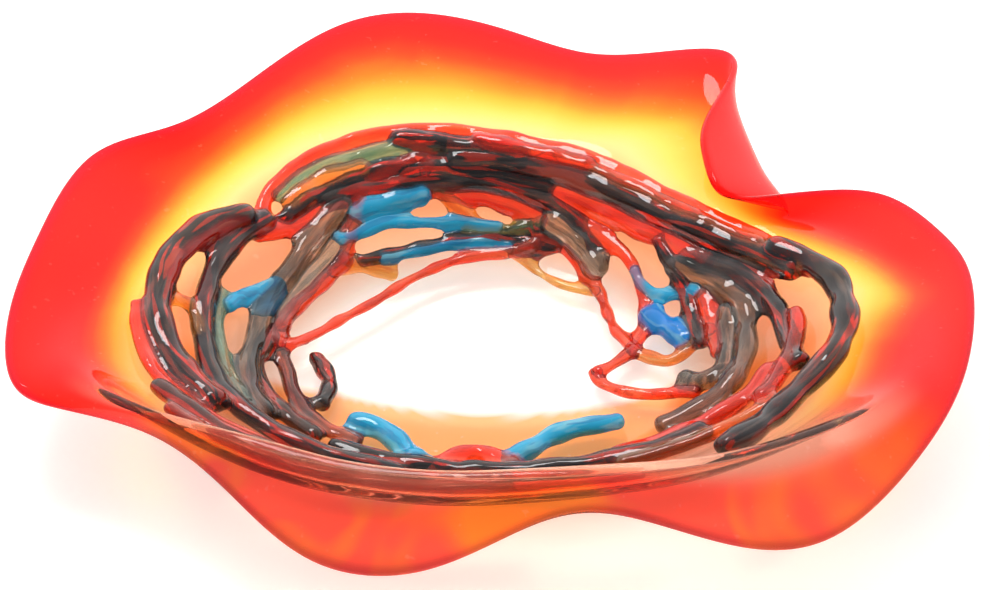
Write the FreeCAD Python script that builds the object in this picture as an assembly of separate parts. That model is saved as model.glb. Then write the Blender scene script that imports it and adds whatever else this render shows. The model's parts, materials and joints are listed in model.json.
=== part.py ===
import FreeCAD, Part
import math
import os

os.makedirs("parts", exist_ok=True)

# Hand-blown ruffled glass bowl.  Millimetres, +Z up, origin under the middle of the foot.

FOOT_RADIUS = 70.0
FLOOR_CAP_RADIUS = 40.0
FLOOR_THICKNESS = 7.0
FLOOR_ROWS = 3
WALL_THICKNESS = 6.0
RIM_THICKNESS = 4.6
LIP_REACH = 0.75 * RIM_THICKNESS
# The wall between the floor and the shoulder: share of the way, and rise above the straight line.
WALL_STEPS = [(0.02, 0.0), (0.30, -3.0), (0.55, -1.0), (0.80, 1.0), (1.00, 1.0)]
# Share of the way across each half of the ruffle where the wall has one more row of points.
RUFFLE_SHARE = 0.55
# The bowl's surface parameter v where the floor turns up, and its run from there to the shoulder.
FLOOR_TURN_V = 2.0
SHOULDER_SPAN_V = 4.0

# A cane is a flattened round, a little uneven along its length as hand-pulled glass is.
CANE_SIDES = 8
CANE_WIDTH = 1.12
CANE_HEIGHT = 0.90
CANE_SWELL = 0.09
SWELL_TURN = 1.3
STEPS_PER_SPAN = 3
# Reach past the end of the route and size of the rings that round off a cane's end.
END_RINGS = [(0.80, 0.12), (0.72, 0.62), (0.38, 0.92)]
# How far outside the section the poles of an eight-sided closed cubic lie.
POLE_REACH = 1.0 / 0.9024
POLE_ROUNDS = 40

# One row per profile of the bowl wall, anticlockwise seen from above:
# direction of the profile on the foot (degrees), radius where the floor turns up,
# shoulder radius and height, a point half way across the ruffle, a point on the rim.
PROFILES = [
    (0, 92, 186, 56, (218, 2, 54), (243, 2, 59)),
    (11, 92, 172, 57, (206, 38, 54), (235, 45, 60)),
    (20, 92, 158, 58, (184, 58, 55), (212, 78, 62)),
    (26, 92, 150, 59, (164, 64, 57), (178, 78, 66)),
    (32, 93, 144, 60, (164, 68, 58), (148, 67, 70)),
    (39, 94, 140, 60, (166, 82, 59), (126, 64, 76)),
    (47, 95, 138, 60, (158, 104, 62), (119, 88, 83)),
    (55, 96, 137, 60, (150, 132, 67), (124, 126, 87)),
    (63, 97, 138, 60, (128, 156, 71), (139, 184, 88)),
    (73, 98, 139, 60, (88, 156, 70), (102, 200, 83)),
    (84, 99, 141, 60, (50, 166, 68), (58, 206, 79)),
    (95, 98, 145, 60, (6, 178, 69), (14, 226, 83)),
    (106, 96, 149, 60, (-38, 182, 71), (-33, 237, 88)),
    (117, 94, 152, 60, (-72, 172, 72), (-78, 222, 89)),
    (129, 92, 154, 60, (-104, 148, 71), (-118, 175, 85)),
    (142, 90, 156, 59, (-136, 116, 68), (-158, 122, 82)),
    (156, 90, 160, 58, (-168, 76, 64), (-200, 88, 82)),
    (170, 90, 167, 56, (-188, 22, 60), (-219, 22, 75)),
    (184, 90, 175, 54, (-196, -20, 57), (-226, -34, 66)),
    (198, 90, 182, 50, (-196, -66, 61), (-218, -80, 57)),
    (212, 90, 180, 49, (-172, -102, 65), (-189, -98, 54)),
    (226, 90, 174, 47, (-140, -124, 69), (-149, -121, 58)),
    (239, 90, 168, 45, (-98, -142, 71), (-112, -155, 53)),
    (252, 90, 162, 44, (-56, -157, 71), (-72, -188, 39)),
    (265, 90, 158, 43, (-14, -164, 71), (-22, -195, 40)),
    (278, 90, 157, 43, (25, -165, 71), (24, -185, 57)),
    (291, 90, 162, 44, (66, -162, 71), (64, -182, 60)),
    (304, 90, 172, 45, (108, -154, 71), (112, -185, 46)),
    (317, 91, 182, 47, (148, -136, 69), (158, -173, 41)),
    (330, 92, 190, 50, (188, -110, 66), (200, -125, 47)),
    (344, 92, 192, 54, (213, -66, 60), (230, -66, 54)),
]


# The nest of glass canes laid hot over the inside of the bowl, and fused to it and to each other.
# Each cane: name, radius, gap under it (below 0 it is sunk into the bowl), and its route as
# (direction in degrees, place up the wall), where the place is 0 where the floor turns up, 1 at
# the shoulder of the wall, and below 0 out on the floor.
CANES = [
    ("rim_coil_back_red", 3.6, -0.5, [
        (149, 0.68), (145, 0.78), (140, 0.88), (130, 0.98), (120, 1.03), (110, 1.05), (100, 1.05),
        (90, 1.03), (80, 1.00), (70, 0.97), (60, 0.94), (50, 0.91), (40, 0.89), (30, 0.89),
        (20, 0.89), (12, 0.89), (6, 0.87)]),
    ("rim_coil_back_orange", 3.0, 3.0, [
        (78, 0.91), (70, 0.885), (60, 0.86), (50, 0.84), (40, 0.83), (30, 0.83), (20, 0.84),
        (12, 0.85), (7, 0.85)]),
    ("rim_coil_back_black", 5.6, -0.5, [
        (96, 0.78), (88, 0.79), (80, 0.79), (70, 0.79), (60, 0.77), (50, 0.75), (40, 0.74),
        (30, 0.75), (20, 0.77), (13, 0.79), (8, 0.81)]),
    ("rim_coil_right_dark", 6.4, -0.5, [
        (14, 0.86), (8, 0.90), (2, 0.93), (355, 0.93), (348, 0.92), (341, 0.87), (334, 0.80),
        (327, 0.80), (320, 0.84), (313, 0.89)]),
    ("rim_coil_left_dark", 7.0, -0.5, [
        (150, 0.80), (155, 0.87), (161, 0.92), (170, 0.93), (180, 0.88), (189, 0.80), (196, 0.72),
        (203, 0.66), (210, 0.62)]),
    ("rim_coil_left_red", 3.2, -0.5, [
        (184, 0.98), (190, 0.92), (200, 0.85), (210, 0.76), (220, 0.66), (230, 0.58), (239, 0.52)]),
    ("rim_coil_left_streak", 2.6, 6.5, [
        (177, 0.86), (171, 0.87), (164, 0.86), (157, 0.83), (152, 0.78)]),
    ("rim_coil_front_left", 5.2, -0.5, [
        (207, 0.90), (217, 0.86), (228, 0.82), (240, 0.77), (252, 0.72), (264, 0.70), (275, 0.70)]),
    ("rim_coil_front_red", 3.4, -0.5, [
        (214, 0.99), (226, 0.96), (240, 0.92), (255, 0.88), (270, 0.86), (284, 0.86), (298, 0.87)]),
    ("shoulder_teal_strand", 3.4, -0.5, [
        (139, 0.82), (133, 0.87), (127, 0.89), (120, 0.88), (113, 0.90), (106, 0.90), (99, 0.92)]),
    ("shoulder_amber_bar", 4.4, -0.5, [
        (138, 0.73), (133, 0.76), (128, 0.79), (123, 0.80), (118, 0.80)]),
    ("shoulder_black_bar", 3.8, 1.0, [
        (141, 0.67), (134, 0.70), (127, 0.71), (120, 0.73), (113, 0.76), (106, 0.76)]),
    ("shoulder_red_loop", 3.0, 2.0, [
        (120, 0.66), (115, 0.71), (110, 0.76), (105, 0.80), (102, 0.76), (104, 0.70)]),
    ("shoulder_black_mass", 5.0, -0.5, [
        (108, 0.97), (101, 0.93), (94, 0.89), (87, 0.87), (80, 0.85)]),
    ("shoulder_black_loop", 5.0, -0.5, [
        (108, 0.70), (101, 0.72), (94, 0.70), (87, 0.70), (80, 0.69), (73, 0.67)]),
    ("shoulder_red_slab", 4.6, 1.0, [
        (91, 0.95), (84, 0.92), (77, 0.90), (70, 0.88), (64, 0.87)]),
    ("inner_coil_back_red", 3.6, -0.5, [
        (150, 0.66), (144, 0.62), (137, 0.60), (130, 0.62), (122, 0.63), (114, 0.61), (106, 0.58),
        (98, 0.56), (91, 0.53), (84, 0.50), (78, 0.46), (73, 0.42)]),
    ("inner_coil_back_black", 3.8, 1.5, [
        (130, 0.67), (122, 0.66), (114, 0.64), (106, 0.63), (98, 0.62), (90, 0.64), (83, 0.63),
        (76, 0.59), (70, 0.54), (64, 0.48), (59, 0.40), (55, 0.32)]),
    ("inner_coil_right_red", 4.4, -0.5, [
        (70, 0.64), (64, 0.62), (57, 0.60), (50, 0.59), (43, 0.58), (36, 0.58), (29, 0.58), (23, 0.58)]),
    ("inner_coil_right_dark", 5.0, -0.5, [
        (28, 0.55), (22, 0.58), (15, 0.61), (8, 0.62), (1, 0.61), (354, 0.61), (348, 0.64), (343, 0.69)]),
    ("inner_coil_right_grey", 5.4, -0.5, [
        (30, 0.46), (24, 0.50), (17, 0.51), (10, 0.50), (4, 0.47), (357, 0.43), (350, 0.41),
        (344, 0.38), (338, 0.32), (332, 0.25), (326, 0.16)]),
    ("inner_coil_left_dark", 5.4, -0.5, [
        (146, 0.72), (152, 0.73), (159, 0.71), (168, 0.67), (178, 0.61), (188, 0.55), (198, 0.50),
        (208, 0.47), (218, 0.43), (228, 0.38), (238, 0.31), (248, 0.24)]),
    ("wall_strand_left_grey", 5.4, -0.5, [
        (126, 0.60), (132, 0.54), (139, 0.48), (147, 0.42), (156, 0.37), (166, 0.33), (177, 0.30),
        (188, 0.30), (199, 0.31), (210, 0.32)]),
    ("wall_strand_left_clear", 4.4, -0.5, [
        (122, 0.54), (126, 0.45), (132, 0.37), (139, 0.31), (148, 0.27), (158, 0.25), (168, 0.22)]),
    ("wall_strand_left_teal", 3.8, -0.5, [
        (170, 0.56), (176, 0.53), (183, 0.48), (190, 0.45), (198, 0.40), (207, 0.36)]),
    ("wall_turquoise_loop_left", 3.4, 2.0, [
        (173, 0.50), (167, 0.47), (161, 0.42), (156, 0.37), (162, 0.33), (170, 0.33)]),
    ("wall_amber_link_left", 3.4, 1.0, [
        (181, 0.80), (179, 0.73), (180, 0.65), (186, 0.58)]),
    ("wall_red_arm_left", 3.8, 2.0, [
        (176, 0.20), (169, 0.20), (161, 0.20), (153, 0.20), (146, 0.21), (139, 0.24), (133, 0.28)]),
    ("wall_red_post_left", 3.4, 2.0, [
        (122, 0.60), (124, 0.51), (127, 0.43), (130, 0.35), (134, 0.28)]),
    ("wall_amber_web_left", 4.0, -0.5, [
        (138, 0.26), (132, 0.23), (127, 0.18), (123, 0.11), (120, 0.06)]),
    ("wall_turquoise_lump_back", 4.8, 1.0, [
        (124, 0.51), (119, 0.53), (114, 0.53), (109, 0.54), (105, 0.55)]),
    ("wall_turquoise_bar_back", 2.8, 4.0, [
        (131, 0.40), (124, 0.39), (117, 0.40), (110, 0.38), (103, 0.36), (97, 0.35), (91, 0.34),
        (85, 0.33)]),
    ("wall_black_bar_back", 3.2, 3.5, [
        (128, 0.22), (121, 0.20), (114, 0.19), (107, 0.19), (100, 0.20), (93, 0.22), (86, 0.22),
        (79, 0.21), (74, 0.22)]),
    ("wall_turquoise_thread_back", 2.2, 6.0, [
        (122, 0.17), (115, 0.15), (108, 0.15), (101, 0.17), (94, 0.19), (87, 0.19), (81, 0.18)]),
    ("wall_amber_post_back", 3.0, 1.5, [
        (101, 0.57), (98, 0.50), (95, 0.43), (92, 0.37), (88, 0.33)]),
    ("wall_olive_strand_back", 3.2, 2.0, [
        (94, 0.31), (88, 0.30), (82, 0.31), (77, 0.35), (73, 0.40)]),
    ("wall_black_loop_back", 3.4, 2.0, [
        (86, 0.24), (81, 0.28), (77, 0.33), (72, 0.34), (68, 0.30), (68, 0.24), (72, 0.20)]),
    ("wall_grey_slab_right", 6.4, -0.5, [
        (70, 0.42), (64, 0.38), (59, 0.32), (55, 0.26), (51, 0.20)]),
    ("wall_dark_strand_right", 3.8, 1.5, [
        (37, 0.56), (33, 0.50), (28, 0.44), (23, 0.38), (18, 0.32), (13, 0.27), (8, 0.23), (2, 0.22)]),
    ("wall_red_post_right", 3.6, 2.5, [
        (16, 0.40), (11, 0.35), (6, 0.31), (1, 0.28), (355, 0.28)]),
    ("wall_turquoise_arc_right", 2.8, 2.5, [
        (39, 0.31), (35, 0.26), (30, 0.25), (25, 0.29), (21, 0.35), (19, 0.41)]),
    ("wall_grey_web_right", 5.0, -0.5, [
        (8, 0.42), (2, 0.36), (355, 0.33), (349, 0.30), (346, 0.22), (349, 0.12)]),
    ("wall_red_cluster_right", 4.6, 1.0, [
        (357, 0.68), (351, 0.67), (345, 0.64), (339, 0.62), (333, 0.60)]),
    ("wall_red_coil_front_right", 4.8, -0.5, [
        (307, 0.20), (313, 0.24), (319, 0.29), (325, 0.36), (331, 0.43), (337, 0.50), (343, 0.55)]),
    ("wall_orange_coil_front_right", 3.8, -0.5, [
        (305, 0.34), (312, 0.42), (319, 0.50), (326, 0.58), (333, 0.66)]),
    ("wall_dark_coil_front", 5.2, -0.5, [
        (228, 0.16), (238, 0.10), (248, 0.06), (259, 0.03), (270, 0.04), (281, 0.08), (292, 0.14),
        (303, 0.24), (313, 0.36), (322, 0.44)]),
    ("wall_red_post_front_left", 4.0, -0.5, [
        (180, 0.12), (187, 0.08), (195, 0.07), (203, 0.06), (211, 0.05), (219, 0.03), (228, 0.00)]),
    ("wall_dark_web_front_left", 4.4, -0.5, [
        (172, 0.24), (180, 0.24), (188, 0.26), (196, 0.24), (204, 0.20), (212, 0.18), (220, 0.16)]),
    ("floor_red_thread_back", 2.7, 5.5, [
        (176, 0.10), (170, 0.03), (163, -0.05), (155, -0.10), (146, -0.14), (136, -0.16), (126, -0.14),
        (116, -0.10), (106, -0.05), (97, 0.00), (89, 0.03), (82, 0.08), (77, 0.15), (73, 0.24)]),
    ("floor_amber_thread", 2.4, -0.5, [
        (80, 0.13), (75, 0.05), (69, -0.02), (62, -0.05), (54, -0.04), (48, 0.00)]),
    ("floor_red_loop_left", 3.0, 1.5, [
        (64, 0.26), (58, 0.16), (51, 0.07), (45, -0.02), (39, -0.09), (32, -0.14), (24, -0.17),
        (16, -0.16), (9, -0.13)]),
    ("floor_red_loop_right", 3.2, 1.5, [
        (62, 0.46), (55, 0.44), (48, 0.40), (42, 0.35), (36, 0.26), (31, 0.17), (26, 0.08),
        (20, -0.01), (14, -0.09), (7, -0.18), (0, -0.28), (354, -0.35)]),
    ("floor_red_bar_right", 3.0, -0.5, [
        (356, -0.37), (350, -0.35), (346, -0.28), (344, -0.18), (344, -0.06), (344, 0.06), (343, 0.18)]),
    ("floor_orange_arm_right", 3.4, -0.5, [
        (11, -0.14), (5, -0.06), (1, 0.02), (2, 0.11), (5, 0.20), (6, 0.28)]),
    ("floor_blue_chip_right", 5.6, -0.5, [
        (24, 0.08), (18, 0.10), (12, 0.13), (7, 0.15)]),
    ("floor_black_drip_left", 4.2, -0.5, [
        (176, -0.08), (183, -0.14), (190, -0.16), (197, -0.13), (203, -0.06)]),
    ("floor_turquoise_chip_left", 5.6, -0.5, [
        (219, -0.14), (227, -0.20), (236, -0.18), (245, -0.10), (250, -0.02)]),
    ("floor_turquoise_bar_front", 5.0, -0.5, [
        (281, -0.12), (290, -0.19), (300, -0.24), (309, -0.24), (317, -0.18), (324, -0.10)]),
    ("floor_red_chip_front", 4.6, -0.5, [
        (258, -0.08), (264, -0.18), (271, -0.20), (277, -0.12), (281, -0.03)]),
]


def vec(x, y, z):
    return FreeCAD.Vector(x, y, z)


def polar(radius, degrees, z):
    angle = math.radians(degrees)
    return vec(radius * math.cos(angle), radius * math.sin(angle), z)


def mix(a, b, t):
    return a * (1.0 - t) + b * t


def poles_through(points):
    """Poles of the closed even cubic curve that passes through the given points."""
    count = len(points)
    poles = list(points)
    for _ in range(POLE_ROUNDS):
        for i in range(count):
            here = (poles[i - 1] + poles[i] * 4.0 + poles[(i + 1) % count]) * (1.0 / 6.0)
            poles[i] = poles[i] + (points[i] - here)
    return poles


def wall_rows():
    """Middle of the bowl wall: for each profile, its points from the floor to the rim."""
    rows = []
    middle = FLOOR_THICKNESS / 2.0
    for degrees, floor_r, shoulder_r, shoulder_z, ruffle, rim in PROFILES:
        shoulder = polar(shoulder_r, degrees, shoulder_z)
        ruffle = vec(*ruffle)
        rim = vec(*rim)
        turn = polar(floor_r, degrees, middle)
        row = [
            polar(FLOOR_CAP_RADIUS, degrees, middle),
            polar(0.5 * (FLOOR_CAP_RADIUS + FOOT_RADIUS), degrees, middle),
            polar(FOOT_RADIUS, degrees, middle),
        ]
        for share, rise in WALL_STEPS:
            row.append(mix(turn, shoulder, share) + vec(0, 0, rise))
        row.append(mix(shoulder, ruffle, RUFFLE_SHARE))
        row.append(ruffle)
        row.append(mix(ruffle, rim, RUFFLE_SHARE))
        row.append(rim)
        rows.append(row)
    return rows


def ring_normal(rows, i, j):
    """Direction across the wall at profile i and row j, towards the inside of the bowl."""
    count = len(rows)
    last = len(rows[0]) - 1
    around = rows[(i + 1) % count][j] - rows[i - 1][j]
    outward = rows[i][min(j + 1, last)] - rows[i][max(j - 1, 0)]
    return outward.cross(around).normalize()


def solid_from(surface, v_first, v_last):
    """Closed solid from a tube-like surface and the two flat faces that close its ends."""
    faces = [surface.toShape()]
    for v in (v_first, v_last):
        edge = surface.vIso(v).toShape()
        faces.append(Part.Face(Part.Wire([edge])))
    shell = Part.Compound(faces)
    shell.sewShape()
    solid = Part.Solid(shell.Shells[0])
    if solid.Volume < 0:
        solid.reverse()
    return solid


def tube_surface(rings):
    """Cubic surface, closed around (u) and open along (v), from rings of poles."""
    along = len(rings)
    around = len(rings[0])
    grid = [[rings[j][i] for j in range(along)] for i in range(around)]
    surface = Part.BSplineSurface()
    v_knots = list(range(along - 2))
    v_mults = [4] + [1] * (along - 4) + [4]
    u_knots = list(range(around + 1))
    u_mults = [1] * (around + 1)
    surface.buildFromPolesMultsKnots(grid, u_mults, v_mults, u_knots, v_knots, True, False, 3, 3)
    return surface


def bowl_surface():
    """The bowl's skin, up the inside from the floor, over the lip and down the outside."""
    rows = wall_rows()
    count = len(rows)
    last = len(rows[0]) - 1
    inside = []
    outside = []
    for j in range(last + 1):
        up_the_wall = max(0.0, (j - FLOOR_ROWS) / (last - FLOOR_ROWS))
        half = 0.5 * mix(WALL_THICKNESS, RIM_THICKNESS, up_the_wall)
        inner_ring = []
        outer_ring = []
        for i in range(count):
            point = rows[i][j]
            if j < FLOOR_ROWS:
                inner_ring.append(vec(point.x, point.y, FLOOR_THICKNESS))
                outer_ring.append(vec(point.x, point.y, 0.0))
            else:
                normal = ring_normal(rows, i, j)
                inner_ring.append(point + normal * half)
                outer_ring.append(point - normal * half)
        inside.append(inner_ring)
        outside.append(outer_ring)
    lip_in = []
    lip_out = []
    for i in range(count):
        reach = (rows[i][last] - rows[i][last - 1]).normalize() * LIP_REACH
        lip_in.append(inside[last][i] + reach)
        lip_out.append(outside[last][i] + reach)
    rings = inside + [lip_in, lip_out] + outside[:FLOOR_ROWS - 2:-1]
    return tube_surface([poles_through(ring) for ring in rings])


def profile_place(degrees):
    """Place along the bowl's closed direction of the profile that stands at these degrees."""
    degrees = degrees % 360.0
    count = len(PROFILES)
    for i in range(count):
        first = PROFILES[i][0]
        second = PROFILES[(i + 1) % count][0]
        if i == count - 1:
            second += 360.0
        if first <= degrees < second:
            return (i - 1 + (degrees - first) / (second - first)) % count
    return 0.0


def nest_frame(bowl_skin, degrees, level, height):
    """Point over the inside of the bowl, and the direction away from the glass there."""
    v = FLOOR_TURN_V + SHOULDER_SPAN_V * level
    if v <= 0.0:
        radius = FLOOR_CAP_RADIUS * (1.0 + 0.5 * v)
        return polar(radius, degrees, FLOOR_THICKNESS + height), vec(0, 0, 1)
    u = profile_place(degrees)
    around = bowl_skin.getDN(u, v, 1, 0)
    outward = bowl_skin.getDN(u, v, 0, 1)
    away = outward.cross(around).normalize()
    return bowl_skin.value(u, v) + away * height, away


def spline_point(values, i, t):
    """Point a fraction t of the way from value i to value i + 1, on a smooth curve through all."""
    last = len(values) - 1
    p0 = values[max(i - 1, 0)]
    p1 = values[i]
    p2 = values[min(i + 1, last)]
    p3 = values[min(i + 2, last)]
    slope_1 = (p2 - p0) * 0.5
    slope_2 = (p3 - p1) * 0.5
    a = p1 * (2 * t ** 3 - 3 * t ** 2 + 1) + slope_1 * (t ** 3 - 2 * t ** 2 + t)
    return a + p2 * (3 * t ** 2 - 2 * t ** 3) + slope_2 * (t ** 3 - t ** 2)


def fine_route(values):
    """More values along the route, on a smooth curve through the given ones."""
    fine = []
    for i in range(len(values) - 1):
        for step in range(STEPS_PER_SPAN):
            fine.append(spline_point(values, i, step / STEPS_PER_SPAN))
    fine.append(values[-1])
    return fine


def ring(centre, side, away, radius):
    """Poles of a cane's section."""
    points = []
    for k in range(CANE_SIDES):
        angle = 2.0 * math.pi * k / CANE_SIDES
        across = side * (math.cos(angle) * CANE_WIDTH)
        up = away * (math.sin(angle) * CANE_HEIGHT)
        points.append(centre + (across + up) * (radius * POLE_REACH))
    return points


def cane_solid(bowl_skin, radius, gap, route):
    """Solid cane laid along its route over the inside of the bowl, with rounded ends."""
    height = CANE_HEIGHT * radius + gap
    frames = [nest_frame(bowl_skin, degrees, level, height) for degrees, level in route]
    centres = fine_route([frame[0] for frame in frames])
    normals = fine_route([frame[1] for frame in frames])
    last = len(centres) - 1
    rings = []
    for i in range(last + 1):
        along = (centres[min(i + 1, last)] - centres[max(i - 1, 0)]).normalize()
        away = (normals[i] - along * normals[i].dot(along)).normalize()
        side = along.cross(away)
        swell = 1.0 + CANE_SWELL * math.sin(SWELL_TURN * i + radius)
        here = radius * swell
        if i == 0:
            for reach, scale in END_RINGS:
                rings.append(ring(centres[i] - along * (radius * reach), side, away, here * scale))
        rings.append(ring(centres[i], side, away, here))
        if i == last:
            for reach, scale in reversed(END_RINGS):
                rings.append(ring(centres[i] + along * (radius * reach), side, away, here * scale))
    surface = tube_surface(rings)
    bounds = surface.bounds()
    return solid_from(surface, bounds[2], bounds[3])


def save(shape, node):
    shape.exportStep("parts/" + node + ".step")


bowl_skin = bowl_surface()
bowl_bounds = bowl_skin.bounds()
save(solid_from(bowl_skin, bowl_bounds[2], bowl_bounds[3]), "outer_bowl")
for cane_name, cane_radius, cane_gap, cane_route in CANES:
    save(cane_solid(bowl_skin, cane_radius, cane_gap, cane_route), cane_name)
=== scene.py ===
import json
import math

import bpy
import numpy as np
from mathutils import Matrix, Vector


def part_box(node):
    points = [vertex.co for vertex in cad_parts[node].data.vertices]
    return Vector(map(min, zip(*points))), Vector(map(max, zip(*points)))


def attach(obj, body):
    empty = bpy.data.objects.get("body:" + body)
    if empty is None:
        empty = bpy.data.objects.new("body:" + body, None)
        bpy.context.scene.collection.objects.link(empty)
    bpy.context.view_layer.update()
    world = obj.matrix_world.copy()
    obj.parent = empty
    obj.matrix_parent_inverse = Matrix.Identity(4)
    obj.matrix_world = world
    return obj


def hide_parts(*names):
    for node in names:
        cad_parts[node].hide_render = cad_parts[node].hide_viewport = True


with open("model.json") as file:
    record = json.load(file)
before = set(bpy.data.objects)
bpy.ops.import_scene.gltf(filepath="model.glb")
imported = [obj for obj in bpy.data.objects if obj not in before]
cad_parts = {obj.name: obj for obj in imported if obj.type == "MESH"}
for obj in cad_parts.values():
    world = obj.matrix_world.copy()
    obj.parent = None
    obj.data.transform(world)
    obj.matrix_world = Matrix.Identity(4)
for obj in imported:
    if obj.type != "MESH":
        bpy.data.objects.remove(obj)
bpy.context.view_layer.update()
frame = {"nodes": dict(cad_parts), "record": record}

import openvdb as vdb
from mathutils import Vector

# A hand-blown ruffled glass bowl with an openwork nest of fused glass canes inside.
# Metres, +Z up, origin under the middle of the foot.

MM = 0.001

# ---------------------------------------------------------------------------------------------
# The bowl's wall, the same design as its CAD solid, in millimetres.
# ---------------------------------------------------------------------------------------------

FOOT_RADIUS = 70.0
FLOOR_CAP_RADIUS = 40.0
FLOOR_THICKNESS = 7.0
FLOOR_ROWS = 3
WALL_THICKNESS = 6.0
RIM_THICKNESS = 4.6
LIP_REACH = 0.75 * RIM_THICKNESS
# The wall between the floor and the shoulder: share of the way, and rise above the straight line.
WALL_STEPS = [(0.02, 0.0), (0.30, -3.0), (0.55, -1.0), (0.80, 1.0), (1.00, 1.0)]
# Share of the way across each half of the ruffle where the wall has one more row of points.
RUFFLE_SHARE = 0.55
POLE_ROUNDS = 60

# Direction (degrees), radius where the floor turns up, shoulder radius and height, a point half
# way across the ruffle, a point on the rim.
PROFILES = [
    (0, 92, 186, 56, (218, 2, 54), (243, 2, 59)),
    (11, 92, 172, 57, (206, 38, 54), (235, 45, 60)),
    (20, 92, 158, 58, (184, 58, 55), (212, 78, 62)),
    (26, 92, 150, 59, (164, 64, 57), (178, 78, 66)),
    (32, 93, 144, 60, (164, 68, 58), (148, 67, 70)),
    (39, 94, 140, 60, (166, 82, 59), (126, 64, 76)),
    (47, 95, 138, 60, (158, 104, 62), (119, 88, 83)),
    (55, 96, 137, 60, (150, 132, 67), (124, 126, 87)),
    (63, 97, 138, 60, (128, 156, 71), (139, 184, 88)),
    (73, 98, 139, 60, (88, 156, 70), (102, 200, 83)),
    (84, 99, 141, 60, (50, 166, 68), (58, 206, 79)),
    (95, 98, 145, 60, (6, 178, 69), (14, 226, 83)),
    (106, 96, 149, 60, (-38, 182, 71), (-33, 237, 88)),
    (117, 94, 152, 60, (-72, 172, 72), (-78, 222, 89)),
    (129, 92, 154, 60, (-104, 148, 71), (-118, 175, 85)),
    (142, 90, 156, 59, (-136, 116, 68), (-158, 122, 82)),
    (156, 90, 160, 58, (-168, 76, 64), (-200, 88, 82)),
    (170, 90, 167, 56, (-188, 22, 60), (-219, 22, 75)),
    (184, 90, 175, 54, (-196, -20, 57), (-226, -34, 66)),
    (198, 90, 182, 50, (-196, -66, 61), (-218, -80, 57)),
    (212, 90, 180, 49, (-172, -102, 65), (-189, -98, 54)),
    (226, 90, 174, 47, (-140, -124, 69), (-149, -121, 58)),
    (239, 90, 168, 45, (-98, -142, 71), (-112, -155, 53)),
    (252, 90, 162, 44, (-56, -157, 71), (-72, -188, 39)),
    (265, 90, 158, 43, (-14, -164, 71), (-22, -195, 40)),
    (278, 90, 157, 43, (25, -165, 71), (24, -185, 57)),
    (291, 90, 162, 44, (66, -162, 71), (64, -182, 60)),
    (304, 90, 172, 45, (108, -154, 71), (112, -185, 46)),
    (317, 91, 182, 47, (148, -136, 69), (158, -173, 41)),
    (330, 92, 190, 50, (188, -110, 66), (200, -125, 47)),
    (344, 92, 192, 54, (213, -66, 60), (230, -66, 54)),
]
# The rim's place in the rows of a profile, and how far past it the lip reaches.
RIM_ROW = 11.0
LIP_ROWS = 0.6
# Facets between two profiles, facets between two rows, and rings on the flat floor and foot.
STEPS_AROUND = 12
STEPS_UP = 5
DISC_RINGS = 6

# Bands of the wall, as shares of the way from the floor to the rim, where a tint comes in or ends.
SOONER_IN = (0.42, 0.70)
SOONER_OUT = (0.80, 1.0)
CREST_IN = (0.36, 0.48)
FLANGE_IN = (0.84, 0.91)
# where the painted shade, a dark line along the rim, comes in
PAINTED_RIM_SHADE_IN = (0.985, 1.03)
# where the painted shadow on the front of the floor fades out up the wall
PAINTED_SHADOW_OUT = (0.40, 0.62)
# How squarely the wall faces the front where the front's own tints come in.
FACING_IN = (0.35, 0.75)
# Painted shadow at the front of the floor, in metres: the orange shade that the front wall casts on
# the table, painted onto the floor glass. The curved line where it starts is furthest forward at
# the middle x given below, and the paint is only on the upper face.
PAINTED_SHADOW_LINE = 0.030
PAINTED_SHADOW_LINE_LEAST = 0.012
PAINTED_SHADOW_LINE_CURVE = 2.5
PAINTED_SHADOW_MIDDLE_X = 0.01
PAINTED_SHADOW_RUN = 0.010
PAINTED_SHADOW_UPPER_FACE = (0.004, 0.007)

# How much sooner the glass turns from yellow to red, by direction (degrees, share of the wall).
REDDER = [
    (0, 0.08), (20, 0.17), (40, 0.11), (60, 0.03), (90, 0.00), (110, 0.00), (125, 0.01),
    (140, 0.05), (160, 0.12), (185, 0.15), (210, 0.20), (305, 0.20), (325, 0.22), (345, 0.20),
    (360, 0.08)]


def polar(radius, degrees, z):
    angle = math.radians(degrees)
    return np.array([radius * math.cos(angle), radius * math.sin(angle), z])


def mix(a, b, t):
    return a * (1.0 - t) + b * t


def smooth(low, high, value):
    t = np.clip((value - low) / (high - low), 0.0, 1.0)
    return t * t * (3.0 - 2.0 * t)


def poles_through(points):
    """Poles of the closed even cubic curves that pass through the points; axis 0 goes round."""
    poles = points.copy()
    for _ in range(POLE_ROUNDS):
        here = (np.roll(poles, 1, 0) + poles * 4.0 + np.roll(poles, -1, 0)) / 6.0
        poles = poles + (points - here)
    return poles


def wall_rows():
    """Middle of the bowl wall: profile, place from the floor to the rim, x y z."""
    rows = []
    for degrees, floor_r, shoulder_r, shoulder_z, ruffle, rim in PROFILES:
        shoulder = polar(shoulder_r, degrees, shoulder_z)
        ruffle = np.array(ruffle, float)
        rim = np.array(rim, float)
        middle = FLOOR_THICKNESS / 2.0
        turn = polar(floor_r, degrees, middle)
        rows.append([
            polar(FLOOR_CAP_RADIUS, degrees, middle),
            polar(0.5 * (FLOOR_CAP_RADIUS + FOOT_RADIUS), degrees, middle),
            polar(FOOT_RADIUS, degrees, middle),
            *[mix(turn, shoulder, share) + np.array([0, 0, rise]) for share, rise in WALL_STEPS],
            mix(shoulder, ruffle, RUFFLE_SHARE),
            ruffle,
            mix(ruffle, rim, RUFFLE_SHARE),
            rim,
        ])
    return np.array(rows)


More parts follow.
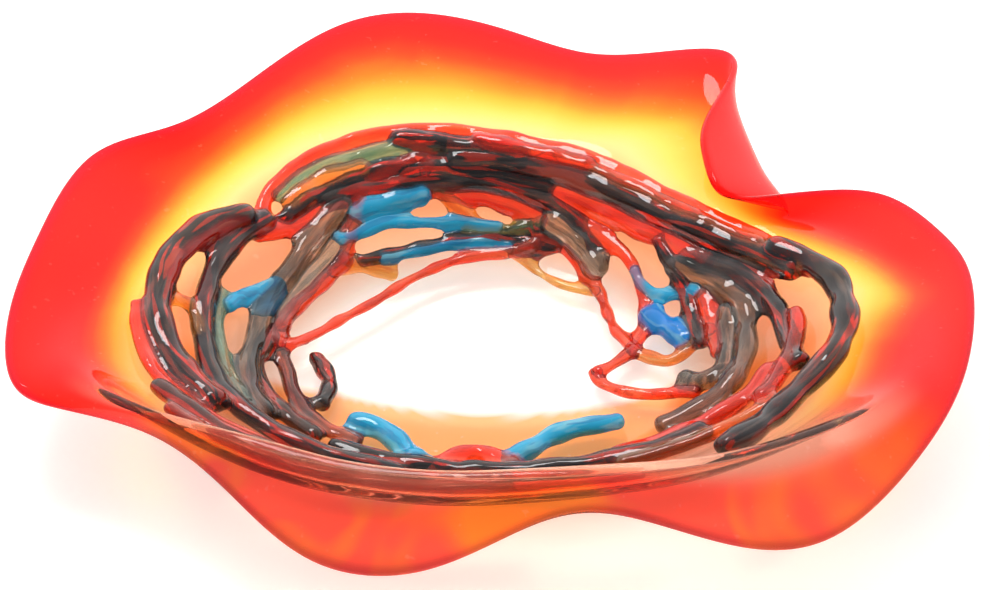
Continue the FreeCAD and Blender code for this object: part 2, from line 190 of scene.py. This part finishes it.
def skin_poles():
    """Pole rings from the floor up the inside, over the lip and down the outside to the foot,
    and the row of the wall that each ring belongs to."""
    rows = wall_rows()
    last = rows.shape[1] - 1
    around = np.roll(rows, -1, 0) - np.roll(rows, 1, 0)
    outward = np.empty_like(rows)
    outward[:, 1:-1] = rows[:, 2:] - rows[:, :-2]
    outward[:, 0] = rows[:, 1] - rows[:, 0]
    outward[:, -1] = rows[:, -1] - rows[:, -2]
    normal = np.cross(outward, around)
    normal /= np.linalg.norm(normal, axis=2, keepdims=True)
    inside = []
    outside = []
    for j in range(last + 1):
        grow = max(0.0, (j - FLOOR_ROWS) / (last - FLOOR_ROWS))
        half = 0.5 * mix(WALL_THICKNESS, RIM_THICKNESS, grow)
        if j < FLOOR_ROWS:
            flat = rows[:, j] * np.array([1, 1, 0])
            inside.append(flat + np.array([0, 0, FLOOR_THICKNESS]))
            outside.append(flat)
        else:
            inside.append(rows[:, j] + normal[:, j] * half)
            outside.append(rows[:, j] - normal[:, j] * half)
    reach = rows[:, last] - rows[:, last - 1]
    reach *= LIP_REACH / np.linalg.norm(reach, axis=1, keepdims=True)
    below = FLOOR_ROWS - 2
    rings = inside + [inside[last] + reach, outside[last] + reach] + outside[:below:-1]
    places = list(range(last + 1)) + [last + LIP_ROWS] * 2 + list(range(last, below, -1))
    return poles_through(np.stack(rings, axis=1)), np.array(places, float)


def clamped_weights(count, samples):
    """Cubic basis of a clamped even curve with that many poles, one row per sample."""
    spans = count - 3
    knots = np.concatenate([[0.0] * 3, np.arange(spans + 1.0), [float(spans)] * 3])
    place = np.linspace(0.0, spans, samples)
    index = np.minimum(place.astype(int), spans - 1) + 3
    weights = np.zeros((samples, count + 3))
    weights[np.arange(samples), index] = 1.0
    for degree in (1, 2, 3):
        new = np.zeros_like(weights)
        for i in range(count + 3 - degree):
            left = knots[i + degree] - knots[i]
            if left > 0:
                new[:, i] += (place - knots[i]) / left * weights[:, i]
            right = knots[i + degree + 1] - knots[i + 1] if i + degree + 1 < len(knots) else 0
            if right > 0:
                new[:, i] += (knots[i + degree + 1] - place) / right * weights[:, i + 1]
        weights = new
    return weights[:, :count]


def closed_weights(count, steps):
    """Cubic basis of a closed even curve: one row per sample, steps samples to each pole."""
    weights = np.zeros((count * steps, count))
    for i in range(count):
        for k in range(steps):
            t = k / steps
            row = weights[i * steps + k]
            row[(i - 1) % count] += (1 - t) ** 3 / 6.0
            row[i] += (3 * t ** 3 - 6 * t ** 2 + 4) / 6.0
            row[(i + 1) % count] += (-3 * t ** 3 + 3 * t ** 2 + 3 * t + 1) / 6.0
            row[(i + 2) % count] += t ** 3 / 6.0
    return weights


def new_object(name, points, faces):
    mesh = bpy.data.meshes.new(name)
    mesh.from_pydata(points.tolist(), [], faces)
    mesh.validate()
    mesh.shade_smooth()
    piece = bpy.data.objects.new(name, mesh)
    bpy.context.scene.collection.objects.link(piece)
    return piece


def float_attribute(piece, name, values):
    layer = piece.data.attributes.new(name, "FLOAT", "POINT")
    layer.data.foreach_set("value", np.ascontiguousarray(values, np.float32))


def bowl_skin():
    """Points, faces and places (0 on the floor, 1 at the rim) of the bowl's closed skin."""
    poles, pole_places = skin_poles()
    count, along = poles.shape[:2]
    samples = (along - 3) * STEPS_UP + 1
    up = clamped_weights(along, samples)
    around = closed_weights(count, STEPS_AROUND)
    skin = np.einsum("ui,ijk,vj->uvk", around, poles, up) * MM
    place = (up @ pole_places) / RIM_ROW
    columns = skin.shape[0]
    # the flat floor and the flat foot are rings that close on the middle
    opening = np.linspace(0, 1, DISC_RINGS + 1)[1:-1]
    closing = np.linspace(1, 0, DISC_RINGS + 1)[1:-1]
    floor_rings = [skin[:, 0] * np.array([k, k, 1]) for k in opening]
    foot_rings = [skin[:, -1] * np.array([k, k, 1]) for k in closing]
    wall_rings = [skin[:, j] for j in range(samples)]
    flat = [np.zeros(columns)] * len(floor_rings)
    points = floor_rings + wall_rings + foot_rings
    places = flat + [np.full(columns, place[j]) for j in range(samples)] + flat
    rings = len(points)
    verts = np.concatenate(points)
    faces = []
    for j in range(rings - 1):
        here, above = j * columns, (j + 1) * columns
        for i in range(columns):
            k = (i + 1) % columns
            faces.append((here + i, above + i, above + k, here + k))
    top = len(verts)
    base = (rings - 1) * columns
    for i in range(columns):
        k = (i + 1) % columns
        faces.append((top, i, k))
        faces.append((top + 1, base + k, base + i))
    middle = np.array([[0, 0, verts[0, 2]], [0, 0, verts[-1, 2]]])
    verts = np.concatenate([verts, middle])
    values = np.concatenate(places + [[0.0, 0.0]])
    return verts, faces, values


def build_bowl():
    verts, faces, values = bowl_skin()
    piece = new_object("ruffled_bowl", verts, faces)
    x, y, z = verts.T
    sooner = np.interp(np.degrees(np.arctan2(y, x)) % 360.0, *zip(*REDDER))
    shaded = values + sooner * smooth(*SOONER_IN, values) * (1.0 - smooth(*SOONER_OUT, values))
    facing = smooth(*FACING_IN, -y / np.maximum(np.hypot(x, y), MM))
    beyond = smooth(*FLANGE_IN, values)
    # painted shadow: the orange shade that the front wall casts on the table, painted on the front
    # of the floor's upper face
    line = np.maximum(PAINTED_SHADOW_LINE - PAINTED_SHADOW_LINE_CURVE * (x - PAINTED_SHADOW_MIDDLE_X) ** 2, PAINTED_SHADOW_LINE_LEAST)
    front = smooth(0.0, PAINTED_SHADOW_RUN, -y - line) * (1.0 - smooth(*PAINTED_SHADOW_OUT, values))
    float_attribute(piece, "place", shaded)
    # painted shade: a dark purplish line along the rim
    float_attribute(piece, "rim_shade", smooth(*PAINTED_RIM_SHADE_IN, values))
    float_attribute(piece, "crest", facing * smooth(*CREST_IN, values) * (1.0 - beyond))
    float_attribute(piece, "flange", facing * beyond)
    float_attribute(piece, "turn", np.arctan2(x, -y))
    float_attribute(piece, "painted_shadow", front * smooth(*PAINTED_SHADOW_UPPER_FACE, z))
    return piece


# ---------------------------------------------------------------------------------------------
# The nest: each cane grows out of its CAD solid, and flows into the canes that it crosses.
# ---------------------------------------------------------------------------------------------

# Side of a cell, and how far from a cane distances are kept.
CELL = 0.0009
BAND = 0.0082
# Size of the fillet between fused canes, how far two of them run into each other, and how far
# their colours bleed.
FILLET = 0.0040
OVERLAP = 0.0011
BLEED = 0.0024
# A part of a cane with fewer points than this is a crumb, and is dropped.
SMALLEST_BIT = 60
# Rounds of easing, and how far a point goes towards its neighbours and back in each.
RELAX_ROUNDS = 3
EASE_IN = 0.5
EASE_BACK = -0.48
# Length, height and turn of the slow swells in glass that ran while it was hot.
SWELLS = ((0.033, 0.00024, 0.4), (0.019, 0.00014, 1.9))
# Typical radius of the nest, places along a cane where its middle is found, and how much of the
# way along a cane counts in the drawn glass.
NEST_RADIUS = 0.14
FLOW_STATIONS = 24
FLOW_STRETCH = 0.10
AXIS_STRIDE = 7

# The first word found in a cane's name gives its glass.
GLASS_COLOURS = [
    ("drip", "#141418"), ("black", "#1A1A20"), ("streak", "#FF3820"), ("dark_web", "#5A463C"),
    ("inner_coil_left_dark", "#34363E"), ("dark", "#26242A"), ("front_left", "#5E3628"),
    ("clear", "#B4C0BA"), ("grey", "#74766F"), ("teal", "#84C8BE"), ("olive", "#B2B56A"),
    ("turquoise", "#1CC4FA"), ("blue", "#1E9CFA"), ("amber", "#F8B454"), ("orange", "#FF9040"),
    ("red", "#FF5030")]
OTHER_GLASS = "#808080"
# Canes whose name has one of these words don't run round the nest, but across it.
CROSSWISE = ("post", "arm", "web", "link", "chip", "slab", "drip", "loop")


def linear(hex_colour):
    values = [int(hex_colour[i:i + 2], 16) / 255.0 for i in (1, 3, 5)]
    return [v / 12.92 if v <= 0.04045 else ((v + 0.055) / 1.055) ** 2.4 for v in values]


def glass_colour(node):
    for word, colour in GLASS_COLOURS:
        if word in node:
            return linear(colour)
    return linear(OTHER_GLASS)


def mesh_arrays(piece):
    mesh = piece.data
    mesh.calc_loop_triangles()
    points = np.empty(len(mesh.vertices) * 3, np.float32)
    mesh.vertices.foreach_get("co", points)
    corners = np.empty(len(mesh.loop_triangles) * 3, np.int32)
    mesh.loop_triangles.foreach_get("vertices", corners)
    return points.reshape(-1, 3), corners.reshape(-1, 3).astype(np.uint32)


def distance_block(points, triangles, quads, low, shape, band):
    """Signed distance to a closed surface, on the block of cells that starts at cell low."""
    transform = vdb.createLinearTransform(voxelSize=CELL)
    width = band / CELL
    grid = vdb.FloatGrid.createLevelSetFromPolygons(
        points, triangles=triangles, quads=quads, transform=transform, halfWidth=width)
    block = np.full(shape, band, np.float32)
    grid.copyToArray(block, ijk=tuple(int(v) for v in low))
    return block


def surface_of(block, low, level, band):
    """Points, triangles and quads of the surface where a block of distances has that level."""
    grid = vdb.FloatGrid()
    grid.transform = vdb.createLinearTransform(voxelSize=CELL)
    grid.background = band
    grid.copyFromArray(block, ijk=tuple(int(v) for v in low), tolerance=0.0)
    grid.gridClass = vdb.GridClass.LEVEL_SET
    return grid.convertToPolygons(isovalue=level, adaptivity=0.0)


def blurred(block):
    for axis in (0, 1, 2):
        block = 0.25 * np.roll(block, 1, axis) + 0.5 * block + 0.25 * np.roll(block, -1, axis)
    return block


def hand_waves(low, shape):
    """Slow swells and dips of glass that ran while it was hot, in metres."""
    x, y, z = [(np.arange(n) + low[i]).astype(np.float32) * CELL for i, n in enumerate(shape)]
    waves = np.zeros(shape, np.float32)
    for size, height, turn in SWELLS:
        k = 2.0 * math.pi / size
        a = np.sin(k * x + turn)[:, None, None] * np.cos(k * 0.9 * y - turn)[None, :, None]
        b = np.sin(k * 1.1 * y + 2 * turn)[None, :, None] * np.cos(k * 0.8 * z)[None, None, :]
        c = np.sin(k * 1.2 * z - turn)[None, None, :] * np.cos(k * x + turn)[:, None, None]
        waves += height * (a + b + c)
    return waves


class Nest:
    """The signed distance to every cane of the nest, and to the web that they melt into."""

    def __init__(self, names):
        self.names = names
        low = np.min([np.array(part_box(n)[0]) for n in names], axis=0)
        high = np.max([np.array(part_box(n)[1]) for n in names], axis=0)
        self.low = np.floor((low - BAND) / CELL).astype(int) - 2
        self.shape = tuple(np.ceil((high + BAND) / CELL).astype(int) + 3 - self.low)
        self.near = np.full(self.shape, BAND, np.float32)
        self.next = np.full(self.shape, BAND, np.float32)
        self.owner = np.full(self.shape, -1, np.int16)
        self.other = np.full(self.shape, -1, np.int16)
        self.blocks = []
        for index, name in enumerate(names):
            self.add(index, name)
        self.web = self.melted()

    def add(self, index, name):
        points, triangles = mesh_arrays(frame["nodes"][name])
        low = np.floor((points.min(0) - BAND) / CELL).astype(int) - 1
        shape = tuple(np.ceil((points.max(0) + BAND) / CELL).astype(int) + 2 - low)
        no_quads = np.zeros((0, 4), np.uint32)
        block = distance_block(points, triangles, no_quads, low, shape, BAND)
        at = tuple(slice(l - g, l - g + n) for l, g, n in zip(low, self.low, shape))
        near, following = self.near[at], self.next[at]
        owner, other = self.owner[at], self.other[at]
        first = block < near
        second = ~first & (block < following)
        following[first] = near[first]
        other[first] = owner[first]
        near[first] = block[first]
        owner[first] = index
        following[second] = block[second]
        other[second] = index
        self.blocks.append((block, low, at))

    def melted(self):
        """The canes with their crossings filleted and their narrow gaps run together."""
        points, triangles, quads = surface_of(self.near, self.low, FILLET, BAND)
        band = FILLET + 3.0 * CELL
        grown = distance_block(points, triangles, quads, self.low, self.shape, band)
        web = np.minimum(self.near, grown + FILLET)
        return blurred(web) + hand_waves(self.low, self.shape)

    def piece(self, index):
        """One cane with its share of the melted web, as points and faces."""
        block, low, at = self.blocks[index]
        rival = np.where(self.owner[at] == index, self.next[at], self.near[at])
        behind = block - rival
        share = np.maximum(self.web[at] + 0.5 * np.maximum(behind, 0.0), 0.5 * behind - OVERLAP)
        return surface_of(share.astype(np.float32), low, 0.0, BAND)

    def tints(self, index, points):
        """Colour at each point: the cane's own glass, bleeding into the one that it touches."""
        cell = np.clip(np.rint(points / CELL).astype(int) - self.low, 0, np.array(self.shape) - 1)
        x, y, z = cell.T
        colours = np.array([glass_colour(n) for n in self.names])
        owner, other = self.owner[x, y, z], self.other[x, y, z]
        gap = self.next[x, y, z] - self.near[x, y, z]
        mine = owner == index
        neighbour = np.where(mine, other, owner)
        known = neighbour >= 0
        share = np.where(mine, 0.5 * (1.0 - smooth(0.0, BLEED, gap)), 0.5)
        share = np.where(known, share, 0.0)[:, None]
        return mix(colours[index][None, :], colours[np.maximum(neighbour, 0)], share)


def largest_parts(count, faces):
    """Which points belong to a connected part that is no crumb."""
    parent = list(range(count))

    def root(i):
        while parent[i] != i:
            parent[i] = parent[parent[i]]
            i = parent[i]
        return i

    for face in faces:
        a = root(face[0])
        for b in face[1:]:
            b = root(b)
            if a != b:
                parent[b] = a
    roots = np.array([root(i) for i in range(count)])
    ids, sizes = np.unique(roots, return_counts=True)
    kept = ids[sizes >= min(SMALLEST_BIT, sizes.max())]
    return np.isin(roots, kept)


def relaxed(points, faces):
    """Points eased towards their neighbours and back, which takes out the cells' facets."""
    quads = np.array([f if len(f) == 4 else (f[0], f[1], f[2], f[2]) for f in faces])
    a = np.concatenate([quads[:, i] for i in range(4)])
    b = np.concatenate([quads[:, (i + 1) % 4] for i in range(4)])
    weight = np.zeros(len(points))
    np.add.at(weight, a, 1.0)
    np.add.at(weight, b, 1.0)
    for step in range(RELAX_ROUNDS * 2):
        total = np.zeros_like(points)
        np.add.at(total, a, points[b])
        np.add.at(total, b, points[a])
        pull = total / weight[:, None] - points
        points = points + pull * (EASE_IN if step % 2 == 0 else EASE_BACK)
    return points


def flow_along(points, crosswise):
    """Place in the drawn glass: a little along the cane, and fully across it."""
    middle = points.mean(axis=0)
    if crosswise:
        axes = np.linalg.svd(points[::AXIS_STRIDE] - middle, full_matrices=False)[2]
        along = (points - middle) @ axes[0]
        aside = (points - middle) @ axes[1]
    else:
        turn = np.arctan2(points[:, 1], points[:, 0]) - math.atan2(middle[1], middle[0])
        along = ((turn + math.pi) % (2 * math.pi) - math.pi) * NEST_RADIUS
        aside = np.hypot(points[:, 0], points[:, 1])
    low, high = along.min(), along.max()
    stations = ((along - low) / (high - low) * FLOW_STATIONS).astype(int)
    stations = np.clip(stations, 0, FLOW_STATIONS - 1)
    count = np.maximum(np.bincount(stations, minlength=FLOW_STATIONS), 1)
    places = low + (np.arange(FLOW_STATIONS) + 0.5) * (high - low) / FLOW_STATIONS
    flow = [along * FLOW_STRETCH]
    for across in (aside, points[:, 2]):
        centre = np.bincount(stations, weights=across, minlength=FLOW_STATIONS) / count
        flow.append(across - np.interp(along, places, centre))
    return np.stack(flow, axis=1) + middle


def build_cane(nest, index):
    name = nest.names[index]
    points, triangles, quads = nest.piece(index)
    points = np.array(points, float)
    faces = [tuple(int(v) for v in f) for f in (*triangles, *quads)]
    keep = largest_parts(len(points), faces)
    order = np.cumsum(keep) - 1
    faces = [tuple(int(order[v]) for v in f) for f in faces if keep[f[0]]]
    points = relaxed(points[keep], faces)
    corners = np.array([f[:3] for f in faces])
    a, b, c = points[corners[:, 0]], points[corners[:, 1]], points[corners[:, 2]]
    if np.einsum("ij,ij->", a, np.cross(b, c)) < 0:
        faces = [f[::-1] for f in faces]
    piece = new_object(name + "_glass", points, faces)
    tint = piece.data.attributes.new("tint", "FLOAT_COLOR", "POINT")
    colours = np.ones((len(points), 4), np.float32)
    colours[:, :3] = nest.tints(index, points)
    tint.data.foreach_set("color", colours.ravel())
    crosswise = any(word in name for word in CROSSWISE)
    flow = flow_along(points, crosswise).astype(np.float32)
    layer = piece.data.attributes.new("flow", "FLOAT_VECTOR", "POINT")
    layer.data.foreach_set("vector", flow.ravel())
    return piece


# ---------------------------------------------------------------------------------------------
# Materials
# ---------------------------------------------------------------------------------------------

def node_of(tree, kind, **settings):
    node = tree.nodes.new(kind)
    for key, value in settings.items():
        setattr(node, key, value)
    return node


BOWL_CLEARNESS = 0.97
BOWL_ROUGHNESS = 0.03
CANE_ROUGHNESS = 0.02
# The bend of light (IOR) is kept small, so that light isn't caught between the faces of a wall or
# a cane, which would look black.  The clear coat gives the gloss instead.
BOWL_BEND = 1.07
BOWL_GLOSS = 0.45
CANE_BEND = 1.15
CANE_GLOSS = 0.9
COAT_BEND = 1.45


def new_glass(name, transmission, roughness, ior, gloss):
    """A material with a Principled shader set up as coated glass, and its node tree."""
    material = bpy.data.materials.new(name)
    material.use_nodes = True
    tree = material.node_tree
    shader = tree.nodes["Principled BSDF"]
    shader.inputs["IOR"].default_value = ior
    shader.inputs["Roughness"].default_value = roughness
    shader.inputs["Transmission Weight"].default_value = transmission
    shader.inputs["Coat Weight"].default_value = gloss
    shader.inputs["Coat IOR"].default_value = COAT_BEND
    shader.inputs["Coat Roughness"].default_value = roughness
    return material, tree, shader


def noise(tree, vector, scale, detail, distortion=0.0):
    """Soft noise: marks to the metre, levels of detail, and how much it is stirred."""
    node = node_of(tree, "ShaderNodeTexNoise")
    node.inputs["Scale"].default_value = scale
    node.inputs["Detail"].default_value = detail
    node.inputs["Distortion"].default_value = distortion
    tree.links.new(vector, node.inputs["Vector"])
    return node.outputs["Fac"]


def maths(tree, operation, a, b):
    node = node_of(tree, "ShaderNodeMath", operation=operation)
    for socket, value in zip(node.inputs, (a, b)):
        if isinstance(value, (int, float)):
            socket.default_value = value
        else:
            tree.links.new(value, socket)
    return node.outputs[0]


def ramp(tree, factor, stops):
    node = node_of(tree, "ShaderNodeValToRGB")
    elements = node.color_ramp.elements
    while len(elements) > 1:
        elements.remove(elements[-1])
    for index, (place, colour) in enumerate(stops):
        element = elements[0] if index == 0 else elements.new(place)
        element.position = place
        parts = linear(colour) if isinstance(colour, str) else [colour] * 3
        element.color = parts + [1.0]
    tree.links.new(factor, node.inputs["Fac"])
    return node.outputs["Color"]


def mixed(tree, factor, a, b):
    node = node_of(tree, "ShaderNodeMix", data_type="RGBA")
    for socket, value in ((node.inputs[0], factor), (node.inputs[6], a), (node.inputs[7], b)):
        if isinstance(value, (int, float)):
            socket.default_value = value
        elif isinstance(value, str):
            socket.default_value = linear(value) + [1.0]
        else:
            tree.links.new(value, socket)
    return node.outputs[2]


def bump(tree, shader, height, strength, distance):
    """Shallow unevenness of the surface, of that depth in metres."""
    node = node_of(tree, "ShaderNodeBump")
    node.inputs["Strength"].default_value = strength
    node.inputs["Distance"].default_value = distance
    tree.links.new(height, node.inputs["Height"])
    tree.links.new(node.outputs["Normal"], shader.inputs["Normal"])


def attribute(tree, name, output="Fac"):
    return node_of(tree, "ShaderNodeAttribute", attribute_name=name).outputs[output]


def spots(tree, pattern, low, high):
    """Nothing where the pattern is under low, all where it is over high."""
    return ramp(tree, pattern, [(0.0, 0.0), (low, 0.0), (high, 1.0)])


# Colours of the bowl's glass, by share of the way from the floor to the rim.
BOWL_SHADES = [
    (0.00, "#FFFFFF"), (0.27, "#FFFAF4"), (0.35, "#F0C8AE"), (0.45, "#E0A078"), (0.56, "#E8A474"),
    (0.64, "#F4B478"), (0.70, "#FCD086"), (0.76, "#FCCC5A"), (0.81, "#FCB032"), (0.855, "#FC7A16"),
    (0.90, "#FC400E"), (0.945, "#FD1C0C"), (1.0, "#F8120E")]
# Colour of the painted shadow that the front wall casts, painted on the front of the floor.
PAINTED_SHADOW_COLOUR = "#EF7F38"
CLEAR_CREST = "#FFDCC4"
# Colour of the painted refraction: brownish streaks round the crest that stand in for the canes
# seen through the front wall.
PAINTED_REFRACTION = "#B4663C"
HANGING_RED = "#FA6450"
HANGING_ORANGE = "#FF9C38"
# Colour of the painted shade, a dark purplish line along the rim.
PAINTED_RIM_SHADE = "#8E1430"
SEED_BUBBLE = "#FFFFFF"
# How much of each tint shows, and how far the wisps shift the shades up or down the wall.
CREST_SHARE = 0.85
FLANGE_SHARE = 0.8
# how much of the painted refraction of the canes shows at the crest
PAINTED_REFRACTION_SHARE = 0.4
PAINTED_RIM_SHADE_SHARE = 0.55
BOWL_SEED_SHARE = 0.12
WISP_SHIFT = 0.05
# Stretch of the painted refraction streaks round the bowl and up the wall.
PAINTED_REFRACTION_ROUND = 3.0
PAINTED_REFRACTION_UP = 26.0


def bowl_material():
    material, tree, shader = new_glass(
        "blown_bowl_glass", BOWL_CLEARNESS, BOWL_ROUGHNESS, BOWL_BEND, BOWL_GLOSS)
    links = tree.links
    place = attribute(tree, "place")
    rim_shade = attribute(tree, "rim_shade")
    painted_shadow = attribute(tree, "painted_shadow")
    crest = attribute(tree, "crest")
    flange = attribute(tree, "flange")
    where = node_of(tree, "ShaderNodeTexCoord").outputs["Object"]
    wisps = noise(tree, where, 14.0, 3.0, 1.2)
    shift = maths(tree, "MULTIPLY", maths(tree, "SUBTRACT", wisps, 0.5), WISP_SHIFT)
    shade = ramp(tree, maths(tree, "ADD", place, shift), BOWL_SHADES)
    # painted shadow of the front wall, on the front of the floor
    shade = mixed(tree, painted_shadow, shade, PAINTED_SHADOW_COLOUR)
    # the front of the wall: clear at the crest with a painted refraction drawn round it, brownish
    # streaks that stand in for the canes seen through the wall, then red with orange clouds where
    # it hangs outward
    drawn = node_of(tree, "ShaderNodeCombineXYZ")
    links.new(maths(tree, "MULTIPLY", attribute(tree, "turn"), PAINTED_REFRACTION_ROUND), drawn.inputs["X"])
    links.new(maths(tree, "MULTIPLY", place, PAINTED_REFRACTION_UP), drawn.inputs["Y"])
    refraction_streaks = spots(tree, noise(tree, drawn.outputs["Vector"], 1.0, 2.0, 0.4), 0.50, 0.62)
    clouds = spots(tree, noise(tree, where, 15.0, 2.0, 0.8), 0.46, 0.62)
    hanging = mixed(tree, clouds, HANGING_RED, HANGING_ORANGE)
    shade = mixed(tree, maths(tree, "MULTIPLY", crest, CREST_SHARE), shade, CLEAR_CREST)
    shade = mixed(tree, maths(tree, "MULTIPLY", flange, FLANGE_SHARE), shade, hanging)
    # painted refraction: the canes seen through the front wall, drawn as streaks at the crest only
    refraction_share = maths(tree, "MULTIPLY", maths(tree, "MULTIPLY", crest, refraction_streaks), PAINTED_REFRACTION_SHARE)
    shade = mixed(tree, refraction_share, shade, PAINTED_REFRACTION)
    seeds = spots(tree, noise(tree, where, 260.0, 1.0), 0.735, 0.77)
    shade = mixed(tree, maths(tree, "MULTIPLY", seeds, BOWL_SEED_SHARE), shade, SEED_BUBBLE)
    # painted shade: a dark purplish line along the rim
    shade = mixed(tree, maths(tree, "MULTIPLY", rim_shade, PAINTED_RIM_SHADE_SHARE), shade, PAINTED_RIM_SHADE)
    links.new(shade, shader.inputs["Base Color"])
    bump(tree, shader, noise(tree, where, 22.0, 2.0, 0.3), 0.25, 0.0012)
    return material


# Glass drawn into each cane as patches and as long streaks, how much the streaks show, and the
# share of light that passes.
CANE_GLASS = {
    "charcoal_glass": ("#7E706A", "#F23A22", 0.90, 0.70),
    "grey_glass": ("#EAE6DC", "#33363A", 0.60, 0.92),
    "red_glass": ("#FF8250", "#A01C12", 0.45, 0.82),
    "amber_glass": ("#FCDA9A", "#E0702A", 0.60, 0.88),
    "turquoise_glass": ("#9CECFF", "#0C86C8", 0.50, 0.40),
    "sea_green_glass": ("#E8D89A", "#3E8C82", 0.60, 0.86),
}
PATCH_SHARE = 0.60
CANE_SEED_SHARE = 0.4


def cane_material(slot):
    patch_colour, streak_colour, streakiness, transmission = CANE_GLASS[slot]
    material, tree, shader = new_glass(
        "cane_" + slot, transmission, CANE_ROUGHNESS, CANE_BEND, CANE_GLOSS)
    tint = attribute(tree, "tint", "Color")
    flow = attribute(tree, "flow", "Vector")
    where = node_of(tree, "ShaderNodeTexCoord").outputs["Object"]
    patches = spots(tree, noise(tree, flow, 150.0, 2.0, 0.6), 0.50, 0.60)
    shade = mixed(tree, maths(tree, "MULTIPLY", patches, PATCH_SHARE), tint, patch_colour)
    streaks = spots(tree, noise(tree, flow, 240.0, 1.0, 0.2), 0.55, 0.59)
    shade = mixed(tree, maths(tree, "MULTIPLY", streaks, streakiness), shade, streak_colour)
    seeds = spots(tree, noise(tree, where, 700.0, 1.0), 0.78, 0.80)
    shade = mixed(tree, maths(tree, "MULTIPLY", seeds, CANE_SEED_SHARE), shade, SEED_BUBBLE)
    tree.links.new(shade, shader.inputs["Base Color"])
    bump(tree, shader, noise(tree, flow, 90.0, 2.0, 0.2), 0.25, 0.0006)
    return material


# ---------------------------------------------------------------------------------------------
# Floor, light and camera
# ---------------------------------------------------------------------------------------------

CAMERA_TARGET = Vector((0.0075, 0.0, 0.054))
CAMERA_DISTANCE = 1.30
CAMERA_RISE = math.radians(33.0)
CAMERA_LENS = 94.5
# Strength of the sky in front of the bowl and behind it, and the directions between which it grows.
SKY_FRONT = 0.40
SKY_BACK = 1.50
SKY_GROWS = (-0.6, 0.8)
SKY_COLOUR = (1.0, 0.995, 0.985, 1.0)
FLOOR_RADIUS = 4.0
FLOOR_SIDES = 64
FLOOR_DROP = 0.0002
FLOOR_GLOW = 0.55
LAMP_AIM = Vector((0.0, 0.0, 0.05))


def build_floor():
    turns = np.linspace(0, 2 * math.pi, FLOOR_SIDES + 1)[:-1]
    rim = [(math.cos(a) * FLOOR_RADIUS, math.sin(a) * FLOOR_RADIUS, 0.0) for a in turns]
    floor = new_object("floor", np.array(rim), [tuple(range(FLOOR_SIDES))])
    material = bpy.data.materials.new("pale_floor")
    material.use_nodes = True
    tree = material.node_tree
    shader = tree.nodes["Principled BSDF"]
    shader.inputs["Roughness"].default_value = 0.75
    where = node_of(tree, "ShaderNodeTexCoord").outputs["Object"]
    pale = ramp(tree, noise(tree, where, 30.0, 3.0), [(0.0, "#F4F3F1"), (1.0, "#F8F7F5")])
    tree.links.new(pale, shader.inputs["Base Color"])
    tree.links.new(pale, shader.inputs["Emission Color"])
    shader.inputs["Emission Strength"].default_value = FLOOR_GLOW
    floor.data.materials.append(material)
    floor.location.z = -FLOOR_DROP


def soft_box(name, place, size, watts):
    light = bpy.data.lights.new(name, "AREA")
    light.shape = "RECTANGLE"
    light.size, light.size_y = size
    light.energy = watts
    lamp = bpy.data.objects.new(name, light)
    lamp.location = place
    aim = LAMP_AIM - Vector(place)
    lamp.rotation_euler = aim.to_track_quat("-Z", "Y").to_euler()
    bpy.context.scene.collection.objects.link(lamp)


def build_light():
    world = bpy.data.worlds.new("studio")
    world.use_nodes = True
    tree = world.node_tree
    sky = tree.nodes["Background"]
    sky.inputs["Color"].default_value = SKY_COLOUR
    direction = node_of(tree, "ShaderNodeSeparateXYZ")
    tree.links.new(node_of(tree, "ShaderNodeTexCoord").outputs["Generated"], direction.inputs[0])
    glow = node_of(tree, "ShaderNodeMapRange", interpolation_type="SMOOTHSTEP")
    tree.links.new(direction.outputs["Y"], glow.inputs["Value"])
    sockets = ("From Min", "From Max", "To Min", "To Max")
    for socket, value in zip(sockets, (*SKY_GROWS, SKY_FRONT, SKY_BACK)):
        glow.inputs[socket].default_value = value
    tree.links.new(glow.outputs["Result"], sky.inputs["Strength"])
    bpy.context.scene.world = world
    soft_box("overhead", (-0.35, 0.45, 1.5), (0.8, 0.35), 11.0)
    bpy.context.scene.view_settings.view_transform = "Standard"


def build_camera():
    camera = bpy.data.cameras.new("camera")
    camera.lens = CAMERA_LENS
    camera.clip_end = 20.0
    eye = bpy.data.objects.new("camera", camera)
    back = Vector((0.0, -math.cos(CAMERA_RISE), math.sin(CAMERA_RISE)))
    eye.location = CAMERA_TARGET + back * CAMERA_DISTANCE
    eye.rotation_euler = (math.pi / 2 - CAMERA_RISE, 0.0, 0.0)
    bpy.context.scene.collection.objects.link(eye)
    bpy.context.scene.camera = eye


# ---------------------------------------------------------------------------------------------
# The object
# ---------------------------------------------------------------------------------------------

def main():
    build_camera()
    build_light()
    build_floor()

    bowl = build_bowl()
    bowl.data.materials.append(bowl_material())
    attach(bowl, "root")
    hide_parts("outer_bowl")

    slots = {part["node"]: part["material_slot"] for part in frame["record"]["subparts"]}
    materials = {slot: cane_material(slot) for slot in CANE_GLASS}
    names = sorted(name for name in frame["nodes"] if name != "outer_bowl")
    nest = Nest(names)
    for index, name in enumerate(names):
        cane = build_cane(nest, index)
        cane.data.materials.append(materials[slots[name]])
        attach(cane, "root")
        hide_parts(name)


main()
